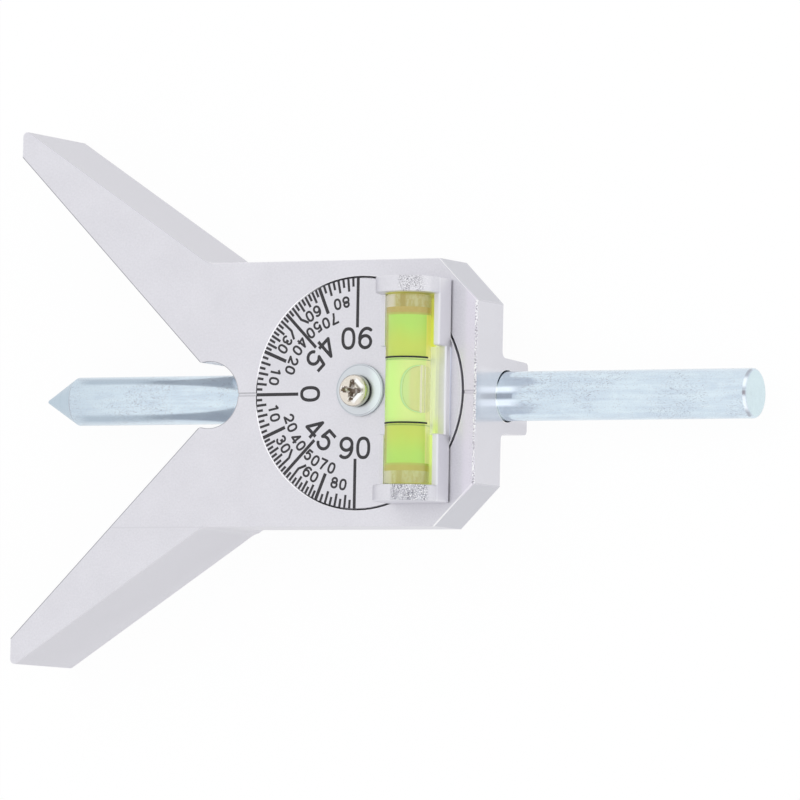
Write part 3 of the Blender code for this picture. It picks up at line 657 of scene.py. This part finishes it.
def head_finish():
    """Satin cast aluminium, with painted shade on faces the light falls on less, painted highlights on
    the rear corners' edges, and grey ones round the vee.
    """
    make = Finish("satin_cast_head")
    place = make.place()
    x, y, z = make.axes(place)
    colour = edge_glints(make, place, cast_tone(make, place))
    side = abs(y)
    near_front = z.rise(24.6, 25.0)
    # Painted shade, for how the light falls, on the rear corners' 45 degree faces, the arms' outer
    # sides, the side face at -Y and the rear face; then painted highlights along the corners' front
    # edges
    corner = x + side
    cut = corner.rise(CORNER_SUM - 0.25, CORNER_SUM - 0.12)
    colour = make.mix(cut, colour, tint(207, 207, 213))
    arm_side = (x * 0.545 + side * 0.8385).rise(3.5, 3.65) * x.rise(-37.0, -40.0)
    colour = make.mix(arm_side * (0.75 + 0.25 * y.rise(-1.0, 1.0)), colour, tint(212, 211, 217))
    flank = y.rise(-29.35, -29.45) * y.rise(-29.8, -29.65)
    colour = make.mix(flank * 0.6, colour, tint(212, 211, 217))
    behind = x.rise(28.95, 29.05) * z.rise(25.1, 25.0)
    colour = make.mix(behind * 0.4, colour, tint(207, 206, 212))
    wider = corner.band(CORNER_SUM - 0.34, 0.2, 0.1) * y.rise(1.0, -1.0)
    bevel = corner.band(CORNER_SUM - 0.28, 0.1, 0.1).most(wider) * near_front * x.rise(18.0, 20.0)
    colour = make.mix(bevel * (0.6 + 0.4 * y.rise(20.0, -2.0)), colour, WHITE)
    # Painted shade on the vee's seats, and grey lines along the front edges round the vee and the apex
    # hole
    seat = x - VEE_POINT_X + side
    grind_and_shade = seat.rise(0.3, 0.1) * x.rise(VEE_POINT_X + 1.0, VEE_POINT_X) * seat.rise(-1.0, -0.3)
    colour = make.mix(grind_and_shade, colour, tint(176, 177, 184))
    away = length(x - HOLE_X, y)
    hole = away.rise(HOLE_RADIUS + 0.2, HOLE_RADIUS + 0.1)
    hole = hole * away.rise(HOLE_RADIUS - 0.6, HOLE_RADIUS - 0.2)
    seat_edge = seat.rise(0.32, 0.2) * seat.rise(-0.6, -0.4)
    seat_edge = seat_edge * x.rise(VEE_POINT_X - 5.0, VEE_POINT_X - 5.3)
    line = near_front * seat_edge.most(hole)
    colour = make.mix(line * 0.8, colour, tint(158, 158, 164))
    # Painted light on the apex hole's wall just below the face
    colour = make.mix(hole * z.rise(24.9, 24.6), colour, tint(238, 238, 242))
    # Painted shade along the edges of the index grooves
    outside = abs(x - RECESS_X).rise(RECESS_RADIUS - 0.1, RECESS_RADIUS + 0.1)
    groove = side.band(0.33, 0.08, 0.05) * z.rise(25.0, 25.1) * outside
    colour = make.mix(groove * 0.8, colour, tint(168, 168, 174))
    # Grain that breaks out into specks towards the rear edge, and a lighter, less metallic strip before
    # that edge; on the edge itself the painted highlights are toned down and broken into painted white
    # sparkle and dark dots
    speck = make.noise(place, 4.6, 1.0, 0.6)
    coarse = x.rise(26.5, 29.2) * z.rise(24.9, 25.1) * side.rise(20.6, 20.0)
    edge = x.rise(28.5, 28.75) * coarse
    strip = x.rise(25.5, 27.0) * z.rise(25.0, 25.1)
    colour = make.mix(strip * 0.5, colour, tint(230, 223, 236))
    colour = make.mix(coarse * speck.rise(0.56, 0.64) * 0.35, colour, tint(150, 148, 160))
    dot = make.noise(place, 3.4, 0.0, 0.5)
    colour = make.mix(edge * 0.75, colour, tint(216, 214, 221))
    colour = make.mix(edge * dot.rise(0.46, 0.38), colour, WHITE)
    colour = make.mix(edge * dot.rise(0.6, 0.68) * 0.7, colour, tint(120, 116, 130))
    grain = make.noise(place, 5.0, 3.0, 0.6)
    rough = 0.42 + 0.1 * (grain - 0.5) - 0.24 * behind
    # Light caught by the recess's edge, the bore's mouth, the apex hole and the face behind the dial
    rim = length(x - RECESS_X, y).rise(RECESS_RADIUS + 0.08, RECESS_RADIUS + 0.03)
    lit = rim * z.rise(24.5, 24.7) * x.rise(-8.0, -16.0) * side.rise(2.0, 5.0)
    mouth = x.rise(27.6, 28.4) * z.rise(9.0, 11.0) * z.rise(16.5, 16.2)
    mouth = mouth * y.rise(3.4, 2.0) * y.rise(-6.5, -5.0)
    mouth = mouth * length(y, z - PUNCH_AXIS_Z).rise(5.882, 5.848)
    glow = make.mix(lit * 0.8, BLACK, WHITE)
    glow = make.mix(mouth, glow, (0.6, 0.62, 0.64))
    glow = make.mix(hole * y.rise(3.0, 5.0) * z.rise(24.9, 24.6), glow, (0.22, 0.21, 0.2))
    mirror = behind * side.rise(6.2, 4.6) * z.rise(25.4, 22.0)
    glow = make.mix(mirror * 0.16, glow, (0.5, 0.52, 0.5))
    colour = make.mix(mouth, colour, tint(222, 208, 190))
    make.set(Emission_Color=glow, Emission_Strength=0.7)
    make.set(Base_Color=colour, Metallic=0.75 - 0.4 * strip, Roughness=rough)
    make.set(Normal=make.bump(grain, 0.12, 0.03 * MM))
    return make


def dial_finish():
    """Satin cast aluminium, rough from grinding on the end blocks, with painted green light round the
    vial and painted light and shade on the long wall.
    """
    make = Finish("satin_cast_dial")
    place = make.place()
    colour = edge_glints(make, place, cast_tone(make, place))
    grain = make.noise(place, 5.0, 3.0, 0.6)
    across, along, up = vial_axes(make)
    turn = up.angle(across)
    lower = along.rise(1.0, -1.0)
    # Ground tops of the end blocks, pitted most on the lower one
    cut = turn.rise(math.radians(18), math.radians(30))
    cut = cut * (turn - lower * 0.1).rise(math.radians(86), math.radians(79))
    cut = cut * abs(along).rise(20.8, 21.2) * (across * across + up * up).rise(46.0, 50.0)
    pits = make.noise(place, 5.2, 1.0, 0.6)
    worn = make.noise(place, 0.35, 2.0)
    grind_and_shade = make.mix(lower, tint(224, 223, 229), tint(196, 196, 205))
    colour = make.mix(cut, colour, grind_and_shade)
    strength = lower * 0.85 + (1 - lower) * turn.rise(math.radians(30), math.radians(52)) * 0.75
    dark = pits.rise(0.53, 0.6) * strength * worn.rise(0.3, 0.5)
    colour = make.mix(cut * dark, colour, tint(50, 46, 64))
    colour = make.mix(cut * pits.rise(0.45, 0.39) * (0.5 + lower * 0.5), colour, WHITE)
    # Painted light on the outer side of the long wall, less on its lower part and most in its window,
    # and a painted shadow along its foot beyond the dial's edge
    middle = abs(along).rise(9.8, 9.6)
    outside = across.rise(7.1, 7.3) * up.rise(0.5, -0.5)
    sunk = make.mix(lower, tint(232, 231, 235), tint(224, 223, 229))
    sunk = make.mix(middle, sunk, tint(236, 235, 239))
    colour = make.mix(outside * up.rise(-6.25, -6.15), colour, sunk)
    foot = across.rise(6.9, 7.0) * up.rise(-5.95, -6.05) * up.rise(-6.39, -6.36)
    colour = make.mix(foot * abs(along).rise(12.6, 13.2), colour, tint(30, 28, 34))
    rough = 0.42 + 0.1 * (grain - 0.5) - cut * 0.1
    grain = grain + cut * pits * 2.0
    # Painted light from the vial on the cavity and in the window, and painted light on the window's
    # ledge, on the wall's outer side near its foot and on its top
    within = across.rise(-5.3, -4.6) * across.rise(5.85, 5.6) * abs(along).rise(21.2, 21.05)
    near_vial = up.rise(0.5, -0.5).most(length(across, up).rise(5.7, 5.2))
    within = within * (up + 6.4).rise(0.5, 0.9) * near_vial
    window = across.rise(5.0, 5.4) * up.rise(-3.6, -4.0) * middle
    lit = make.mix(across.rise(4.4, 5.4), tint(226, 232, 122), tint(232, 238, 190))
    lit = make.mix(lower * (1 - middle) * 0.65, lit, tint(232, 248, 196))
    lit = make.mix(middle * across.rise(0.5, 2.5), lit, tint(230, 234, 232))
    low_part = along.rise(-4.5, -9.0) * across.rise(3.5, 4.5)
    lit = make.mix(middle * low_part * 0.7, lit, tint(226, 244, 150))
    lit = make.mix(abs(along).rise(20.2, 20.5) * 0.7, lit, tint(196, 192, 110))
    colour = make.mix(within.most(window * across.rise(6.9, 5.6) * 0.55), colour, lit)
    ledge = window * across.rise(5.4, 5.9) * across.rise(7.35, 7.2)
    colour = make.mix(ledge * 0.85, colour, tint(232, 235, 240))
    lit = make.mix(ledge, lit, tint(222, 224, 250))
    footing = across.rise(7.2, 7.3) * up.rise(-4.8, -5.8) * up.rise(-6.3, -6.1)
    colour = make.mix(footing * abs(along).rise(21.0, 20.0) * 0.5, colour, tint(238, 238, 238))
    top = across.rise(5.75, 5.9) * up.band(-0.4, 0.1, 0.2)
    colour = make.mix(top, colour, tint(234, 234, 239))
    glow = within * (1 - top) * (1 - middle * across.rise(4.6, 5.2) * 0.55)
    glow = glow.most(window * across.rise(7.35, 7.1) * 0.38)
    make.set(Emission_Color=make.mix(glow, BLACK, lit), Emission_Strength=0.34)
    make.set(Base_Color=colour, Metallic=0.75, Roughness=rough)
    make.set(Normal=make.bump(grain, 0.12, 0.03 * MM))
    return make


def zinc_finish(name):
    """Bluish zinc plate on a drawn bar, with fine scratches along and round it."""
    make = Finish(name)
    place = make.place()
    x, y, z = make.axes(place)
    streak = make.noise(make.stretched(place, 0.05, 0.9, 0.9), 1.0, 4.0, 0.6)
    cloud = make.noise(make.stretched(place, 0.25, 0.5, 0.5), 0.6, 3.0, 0.5, 1.0)
    tone = 0.5 + (streak - 0.5) * 1.1 + (cloud - 0.5) * 0.9
    colour = make.mix(tone.rise(0.1, 0.9), tint(204, 219, 233), tint(222, 237, 246))
    crease = make.noise(make.stretched(place, 0.7, 1.4, 1.4), 0.5, 3.0, 0.55, 2.0)
    wrinkle = abs(crease - 0.5).rise(0.014, 0.004)
    patchy = make.noise(place, 0.09, 2.0).rise(0.46, 0.56)
    colour = make.mix(wrinkle * patchy * 0.75, colour, tint(150, 148, 160))
    specks = make.noise(place, 3.0, 2.0, 0.6).rise(0.58, 0.66)
    colour = make.mix(specks * 0.35, colour, tint(190, 182, 188))
    low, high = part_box("punch")
    start = low.x / MM
    end = high.x / MM
    face = x.rise(end - 0.06, end - 0.02)
    colour = make.mix(face * 0.7, colour, tint(214, 234, 238))
    # A darker ring at the end, with a painted dark reflection down its middle, and the turned point
    ring = x.band(end - 0.45, 0.15, 0.35) * z.rise(11.0, 12.0)
    ring = ring * (0.3 + 0.2 * abs(y).rise(2.5, 4.5)).most(y.band(-0.2, 0.2, 0.7) * 0.8)
    colour = make.mix(ring, colour, tint(140, 130, 138))
    turned = x.rise(start + 8.7, start + 8.3)
    rings = make.noise(make.stretched(place, 2.2, 0.1, 0.1), 1.0, 3.0, 0.6)
    colour = make.mix(turned, colour, make.mix(rings, tint(182, 198, 210), tint(198, 213, 225)))
    # Painted shade towards the point and a painted dark reflection on either side; at the bore, painted
    # bright reflections with a painted dark one between them; and painted highlights on the ring at the
    # end
    darker = x.rise(start + 30.0, start + 10.0) * (1 - turned)
    colour = make.mix(darker * 0.35, colour, tint(184, 198, 210))
    streaks = abs(y).band(4.2, 0.3, 0.75) * x.rise(start + 8.6, start + 13.0)
    streaks = streaks * x.rise(start + 38.0, start + 27.0)
    colour = make.mix(streaks * (0.45 + 0.4 * streak), colour, tint(164, 178, 192))
    shoulder = x.band(start + 8.45, 0.05, 0.12) * rings.rise(0.35, 0.6)
    colour = make.mix(shoulder * 0.6, colour, tint(150, 140, 150))
    upper = x.rise(28.0, 29.0) * z.rise(12.0, 13.0)
    dark_reflection = x.rise(33.2, 32.8) * upper * y.band(-0.35, 0.35, 0.45) * (0.45 + 0.45 * streak)
    colour = make.mix(dark_reflection, colour, tint(150, 160, 172))
    white = y.band(1.15, 0.25, 0.7).most(y.band(-1.8, 0.35, 0.7)) * x.rise(36.0, 31.5) * upper
    end_glints = y.band(2.1, 0.6, 1.0).most(y.band(-2.4, 0.9, 1.3))
    white = white.most(end_glints * x.band(end - 0.45, 0.14, 0.34) * z.rise(11.0, 12.0))
    make.set(Emission_Color=make.mix(white, BLACK, (0.92, 0.97, 1.0)), Emission_Strength=0.42)
    make.set(Base_Color=colour, Metallic=0.95, Roughness=0.1 + 0.16 * cloud + turned * 0.15)
    make.set(Normal=make.bump(streak + wrinkle * patchy * 0.4, 0.15, 0.05 * MM))
    return make


def plain_metal(name, colour, roughness, grain_scale):
    """A plated small part with a faint grain."""
    make = Finish(name)
    place = make.place()
    grain = make.noise(place, grain_scale, 3.0, 0.6)
    bright = tuple(min(1.0, channel * 1.12) for channel in colour)
    make.set(Base_Color=make.mix(grain, colour, bright), Metallic=1.0)
    make.set(Roughness=roughness + 0.12 * (grain - 0.5), Normal=make.bump(grain, 0.08, 0.02 * MM))
    return make


def washer_finish():
    """Zinc plate with thin grey rims."""
    make = plain_metal("washer_zinc", tint(205, 210, 215), 0.3, 1.5)
    place = make.place()
    low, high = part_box("dial_washer")
    middle = (low + high) / 2 / MM
    x, y, _ = make.axes(make.vector("SUBTRACT", place, tuple(middle)))
    grain = make.noise(place, 1.5, 3.0, 0.6)
    plate = make.mix(grain, tint(206, 211, 216), tint(216, 221, 226))
    # Painted light on the side towards +X
    plate = make.mix(x.rise(1.5, 4.5), plate, tint(232, 242, 242))
    away = length(x, y)
    rim = (high.x - low.x) / 2 / MM
    plate = make.mix(away.band(rim - 0.28, 0.05, 0.1) * 0.5, plate, tint(150, 156, 166))
    make.set(Base_Color=plate)
    return make


def screw_finish():
    """Warm nickel, with painted brown shade in the cross recess, painted highlights and shade round the
    cross, and painted reflections of the vial on the head's right side.
    """
    make = plain_metal("warm_nickel", tint(222, 214, 202), 0.2, 2.0)
    place = make.place()
    low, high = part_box("dial_screw")
    middle = (low + high) / 2 / MM
    x, y, z = make.axes(make.vector("SUBTRACT", place, (middle.x, middle.y, high.z / MM)))
    away = length(x, y)
    crown = (1 - (away / CROWN_REACH) ** 2) * CROWN_HEIGHT - CROWN_HEIGHT
    sunk = (z - crown).rise(-0.05, -0.25) * away.rise(2.9, 2.7)
    wing_x = abs(x).rise(2.9, 2.6) * abs(y + x * 0.12).rise(0.8, 0.6)
    wing_y = abs(y).rise(2.6, 2.3) * abs(x - y * 0.12).rise(0.75, 0.55)
    sunk = sunk.most(wing_x.most(wing_y) * z.rise(-1.6, -1.4))
    # Painted brown shade in the cross recess, broken by patches of painted light, and a little painted
    # glow there
    patchy_light = make.noise(place, 1.2, 3.0, 0.65).rise(0.52, 0.6)
    grain = make.noise(place, 2.0, 3.0, 0.6)
    base = make.mix(grain, tint(218, 210, 198), tint(238, 232, 222))
    inside = make.mix(patchy_light, tint(118, 102, 90), tint(250, 247, 242))
    edge = away.rise(3.2, 3.5) * z.rise(-1.3, -0.9)
    colour = make.mix(edge * 0.4, make.mix(sunk, base, inside), tint(160, 154, 146))
    # Painted reflections of the vial on the head's side and its right slope, and a painted shadow at
    # the side's foot
    flank = away.rise(3.3, 3.45) * z.rise(-1.1, -1.25) * z.rise(-4.0, -3.0)
    colour = make.mix(flank, colour, tint(190, 192, 172))
    colour = make.mix(flank * z.rise(-1.75, -1.85), colour, tint(26, 26, 24))
    slope = x.rise(1.6, 2.4) * away.rise(2.4, 2.9)
    colour = make.mix(slope * (1 - flank) * 0.55, colour, tint(196, 204, 170))
    # Painted glints and shaded facets round the cross, and a painted highlight in its middle
    rising = x - y
    falling = x + y
    painted_glints = falling.band(3.3, 0.3, 0.5) * rising.band(0.2, 1.1, 1.5)
    painted_glints = painted_glints.most(rising.band(2.9, 0.3, 0.5) * falling.band(-0.1, 1.3, 1.8)) * z.rise(-2.0, -1.5)
    shaded_facets = falling.band(2.35, 0.15, 0.3) * rising.band(0.6, 1.0, 1.3)
    shaded_facets = shaded_facets.most(rising.band(2.1, 0.15, 0.35) * falling.band(0.2, 1.0, 1.3))
    colour = make.mix(shaded_facets * (0.5 + 0.5 * patchy_light), colour, tint(52, 44, 40))
    colour = make.mix(painted_glints, colour, WHITE)
    spark = abs(x - 0.3).rise(0.35, 0.15) * abs(y + 0.2).rise(1.7, 0.9) * patchy_light.most(0.35)
    colour = make.mix(spark * 0.9, colour, tint(255, 255, 252))
    make.set(Base_Color=colour, Metallic=1.0 - sunk * 0.8)
    make.set(Emission_Color=make.mix(sunk, BLACK, inside), Emission_Strength=0.12)
    return make


def ink_finish(name, colour):
    """Filled-in paint, slightly uneven."""
    make = Finish(name)
    grain = make.noise(make.place(), 4.0, 3.0, 0.6)
    pale = tuple(channel + 0.03 for channel in colour)
    make.set(Base_Color=make.mix(grain.rise(0.45, 0.75), colour, pale), Roughness=0.5 + 0.2 * grain)
    return make


def tube_finish():
    """Clear moulded acrylic."""
    make = Finish("clear_acrylic")
    make.set(Base_Color=(1.0, 1.0, 0.97), Transmission_Weight=1.0, IOR=1.45)
    haze = make.noise(make.place(), 0.8, 2.0)
    make.set(Roughness=0.02 + 0.03 * haze)
    return make


def vial_axes(make):
    """Across, along and up from the vial's middle, in millimetres."""
    middle, _ = vial_frame()
    return make.axes(make.vector("SUBTRACT", make.place(), tuple(middle / MM)))


def liquid_finish():
    """Yellow-green liquid, with painted light that makes it brighter between the lines and yellow low
    on the sides, and a painted glow of its own colour.
    """
    make = Finish("level_liquid")
    across, along, up = vial_axes(make)
    turn = up.angle(across)
    window = abs(along + 0.1).rise(7.3, 7.1)
    uneven = (make.noise(make.stretched(make.place(), 1.0, 0.5, 1.0), 0.35, 2.0) - 0.5) * 0.5
    green = (abs(along).rise(9.0, 15.5) + uneven).most(0.0)
    leaf = make.mix(green, tint(208, 226, 96), tint(190, 234, 107))
    yellower = turn.rise(math.radians(125), math.radians(60))
    lime = make.mix(yellower, tint(216, 255, 146), tint(228, 252, 156))
    colour = make.mix(window, leaf, lime)
    side = turn.rise(math.radians(3), math.radians(-4))
    side = side * turn.rise(math.radians(-100), math.radians(-90))
    below = along.rise(1.0, -1.0) * (1 - window)
    colour = make.mix(side * 0.9, colour, make.mix(window, tint(246, 244, 122), tint(244, 244, 170)))
    colour = make.mix(side * below * 0.6, colour, tint(236, 250, 190))
    shade = turn.rise(math.radians(132), math.radians(144))
    colour = make.mix(shade * (1 - window * 0.7) * 0.7, colour, tint(190, 184, 100))
    shadow = along.band(6.45, 0.1, 0.12).most(along.band(-7.98, 0.08, 0.1))
    colour = make.mix(shadow * 0.45, colour, tint(70, 130, 60))
    # The bubble: painted light and shade on its rim, and a painted pale stripe where it catches the
    # light
    apart = abs((turn - BUBBLE_ANGLE) / BUBBLE_SWEEP) ** BUBBLE_POWER
    apart = apart + abs(along / (BUBBLE_HALF / MM)) ** BUBBLE_POWER
    bubble = apart.rise(1.0, 0.97)
    deeper = turn.rise(math.radians(72), math.radians(44))
    olive = make.mix(deeper, tint(208, 238, 150), tint(216, 224, 146))
    colour = make.mix(bubble, colour, olive)
    outer = apart.band(0.985, 0.015, 0.02)
    inner = apart.band(0.93, 0.02, 0.03)
    second = apart.band(0.83, 0.01, 0.03)
    shown = turn.rise(math.radians(16), math.radians(24))
    colour = make.mix(outer * 0.5 * shown, colour, tint(150, 205, 140))
    colour = make.mix(inner * 0.8 * shown, colour, tint(196, 246, 180))
    colour = make.mix(second * 0.4 * shown, colour, tint(130, 160, 100))
    slant = across * 0.887 - up * 0.462
    colour = make.mix(bubble * slant.rise(2.70, 2.76), colour, tint(226, 230, 160))
    stripe = slant.band(2.755, 0.16, 0.04) * bubble
    rims = slant.band(2.61, 0.03, 0.025).most(slant.band(2.88, 0.03, 0.025)) * bubble
    colour = make.mix(stripe, colour, tint(226, 224, 196))
    colour = make.mix(rims, colour, tint(248, 246, 224))
    make.set(Base_Color=colour, Roughness=0.25)
    make.set(Emission_Color=colour, Emission_Strength=0.27)
    return make


def seal_finish():
    """Amber sealing compound, greener towards the liquid."""
    make = Finish("level_sealant")
    _, along, _ = vial_axes(make)
    grain = make.noise(make.place(), 0.9, 3.0)
    amber = make.mix(grain, tint(196, 172, 92), tint(208, 192, 114))
    amber = make.mix(along.rise(1.0, -1.0) * 0.6, amber, tint(200, 206, 96))
    colour = make.mix(abs(along).rise(17.0, 16.4) * 0.5, amber, tint(186, 220, 100))
    # A painted glow of its own colour
    make.set(Base_Color=colour, Roughness=0.4, Emission_Color=colour, Emission_Strength=0.25)
    return make


def plug_finish():
    """Clear plugs that show the colours round them, in ripples."""
    make = Finish("level_plug")
    across, along, _ = vial_axes(make)
    ripple = make.noise(make.stretched(make.place(), 1.6, 0.35, 0.6), 1.2, 3.0, 0.6)
    cloudy = make.noise(make.place(), 0.9, 2.0, 0.5)
    colour = make.mix(ripple.rise(0.35, 0.65), tint(214, 210, 158), tint(202, 193, 124))
    colour = make.mix(cloudy.rise(0.5, 0.7) * 0.5, colour, tint(196, 176, 96))
    colour = make.mix(across.band(0.45, 0.3, 0.7) * 0.8, colour, tint(186, 168, 84))
    colour = make.mix(across.rise(-1.0, -1.9) * (0.6 + 0.4 * ripple), colour, tint(236, 230, 216))
    colour = make.mix(along.rise(1.0, -1.0) * 0.35, colour, tint(214, 226, 150))
    colour = make.mix(abs(along).rise(20.3, 20.6) * 0.6, colour, tint(186, 178, 76))
    # A painted glow of its own colour
    make.set(Base_Color=colour, Roughness=0.2, Emission_Color=colour, Emission_Strength=0.22)
    return make


# Scene

def aim_camera():
    """A far camera that looks at the middle of the front face, as in the photograph."""
    data = bpy.data.cameras.new("camera")
    data.lens = CAMERA_LENS
    data.sensor_width = SENSOR_WIDTH
    data.shift_x, data.shift_y = CAMERA_SHIFT
    data.clip_start = 0.1
    data.clip_end = 20.0
    camera = bpy.data.objects.new("camera", data)
    bpy.context.scene.collection.objects.link(camera)
    turn = Matrix.Rotation(CAMERA_YAW, 4, "Y") @ Matrix.Rotation(CAMERA_PITCH, 4, "X")
    turn = turn @ Matrix.Rotation(CAMERA_ROLL, 4, "Z")
    centre = Matrix.Translation((0.0, 0.0, FACE_Z))
    camera.matrix_world = centre @ turn @ Matrix.Translation((*CAMERA_OFFSET, CAMERA_RANGE))
    bpy.context.scene.camera = camera


def seen_directly(tree):
    """1 on rays that show a background as it is: the camera's, mirrored ones and ones through glass."""
    path = tree.nodes.new("ShaderNodeLightPath")
    total = path.outputs["Is Camera Ray"]
    for output in ("Is Glossy Ray", "Is Transmission Ray"):
        most = tree.nodes.new("ShaderNodeMath")
        most.operation = "MAXIMUM"
        tree.links.new(total, most.inputs[0])
        tree.links.new(path.outputs[output], most.inputs[1])
        total = most.outputs[0]
    return total


def light_world(strength):
    """White to look at, and a soft light of its own strength on everything else."""
    world = bpy.data.worlds.new("studio")
    bpy.context.scene.world = world
    world.use_nodes = True
    tree = world.node_tree
    tree.nodes.clear()
    white = tree.nodes.new("ShaderNodeBackground")
    white.inputs["Color"].default_value = (*WHITE, 1.0)
    white.inputs["Strength"].default_value = 1.0
    soft = tree.nodes.new("ShaderNodeBackground")
    soft.inputs["Color"].default_value = (0.97, 0.98, 1.0, 1.0)
    soft.inputs["Strength"].default_value = strength
    mix = tree.nodes.new("ShaderNodeMixShader")
    out = tree.nodes.new("ShaderNodeOutputWorld")
    tree.links.new(seen_directly(tree), mix.inputs[0])
    tree.links.new(soft.outputs[0], mix.inputs[1])
    tree.links.new(white.outputs[0], mix.inputs[2])
    tree.links.new(mix.outputs[0], out.inputs["Surface"])


def add_floor():
    """A pale floor that shows white and keeps a faint shadow."""
    mesh = bpy.data.meshes.new("floor")
    square = ((-1, -1), (1, -1), (1, 1), (-1, 1))
    corners = [(x * FLOOR_HALF, y * FLOOR_HALF, FLOOR_Z) for x, y in square]
    mesh.from_pydata(corners, [], [(0, 1, 2, 3)])
    floor = bpy.data.objects.new("floor", mesh)
    bpy.context.scene.collection.objects.link(floor)
    material = bpy.data.materials.new("pale_floor")
    material.use_nodes = True
    tree = material.node_tree
    tree.nodes.clear()
    matt = tree.nodes.new("ShaderNodeBsdfDiffuse")
    matt.inputs["Color"].default_value = (*WHITE, 1.0)
    glow = tree.nodes.new("ShaderNodeEmission")
    glow.inputs["Strength"].default_value = 1.0
    share = tree.nodes.new("ShaderNodeMath")
    share.operation = "MULTIPLY"
    share.inputs[1].default_value = FLOOR_GLOW
    mix = tree.nodes.new("ShaderNodeMixShader")
    out = tree.nodes.new("ShaderNodeOutputMaterial")
    tree.links.new(seen_directly(tree), share.inputs[0])
    tree.links.new(share.outputs[0], mix.inputs[0])
    tree.links.new(matt.outputs[0], mix.inputs[1])
    tree.links.new(glow.outputs[0], mix.inputs[2])
    tree.links.new(mix.outputs[0], out.inputs["Surface"])
    mesh.materials.append(material)


def add_lamp(name, place, size, power):
    """A soft square lamp that faces the object."""
    data = bpy.data.lights.new(name, "AREA")
    data.size = size
    data.energy = power
    lamp = bpy.data.objects.new(name, data)
    bpy.context.scene.collection.objects.link(lamp)
    lamp.location = place
    lamp.visible_glossy = False
    lamp.visible_transmission = False
    lamp.rotation_mode = "QUATERNION"
    lamp.rotation_quaternion = (-Vector(place)).to_track_quat("-Z", "Y")


def dress_nodes(nodes, finishes):
    """Gives each node its finish and the angle in degrees up to which it is smooth."""
    for name, (finish, angle) in finishes.items():
        refine_shading(nodes[name], angle, finish)


def main():
    """The part in its finishes, with its marks, its vial and the studio round it."""
    for old in list(bpy.data.objects):
        bpy.data.objects.remove(old, do_unlink=True)
    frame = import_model()
    nodes = frame["nodes"]
    aim_camera()
    light_world(0.92)
    add_floor()
    add_lamp("front_lamp", (-0.5, 0.7, 1.7), 1.4, 3.5)
    add_lamp("rear_lamp", (1.9, 0.1, 0.5), 1.2, 6.2)
    cast = head_finish()
    cast_dial = dial_finish()
    zinc = zinc_finish("blue_zinc")
    washer = washer_finish()
    nickel = screw_finish()
    spring = plain_metal("spring_steel", tint(150, 150, 152), 0.35, 1.5)
    ink = ink_finish("scale_ink", tint(44, 42, 46))
    tube = tube_finish()
    dress_nodes(nodes, {
        "head_body": (cast, 15.0),
        "dial": (cast_dial, 15.0),
        "punch": (zinc, 30.0),
        "dial_screw": (nickel, 30.0),
        "dial_washer": (washer, 35.0),
        "wave_washer": (spring, 40.0),
        "vial_tube": (tube, 30.0),
    })
    make_scale(ink)
    make_vial(liquid_finish(), seal_finish(), plug_finish(), ink_finish("level_line", tint(16, 24, 14)))
    bpy.context.scene.view_settings.view_transform = "Standard"


main()
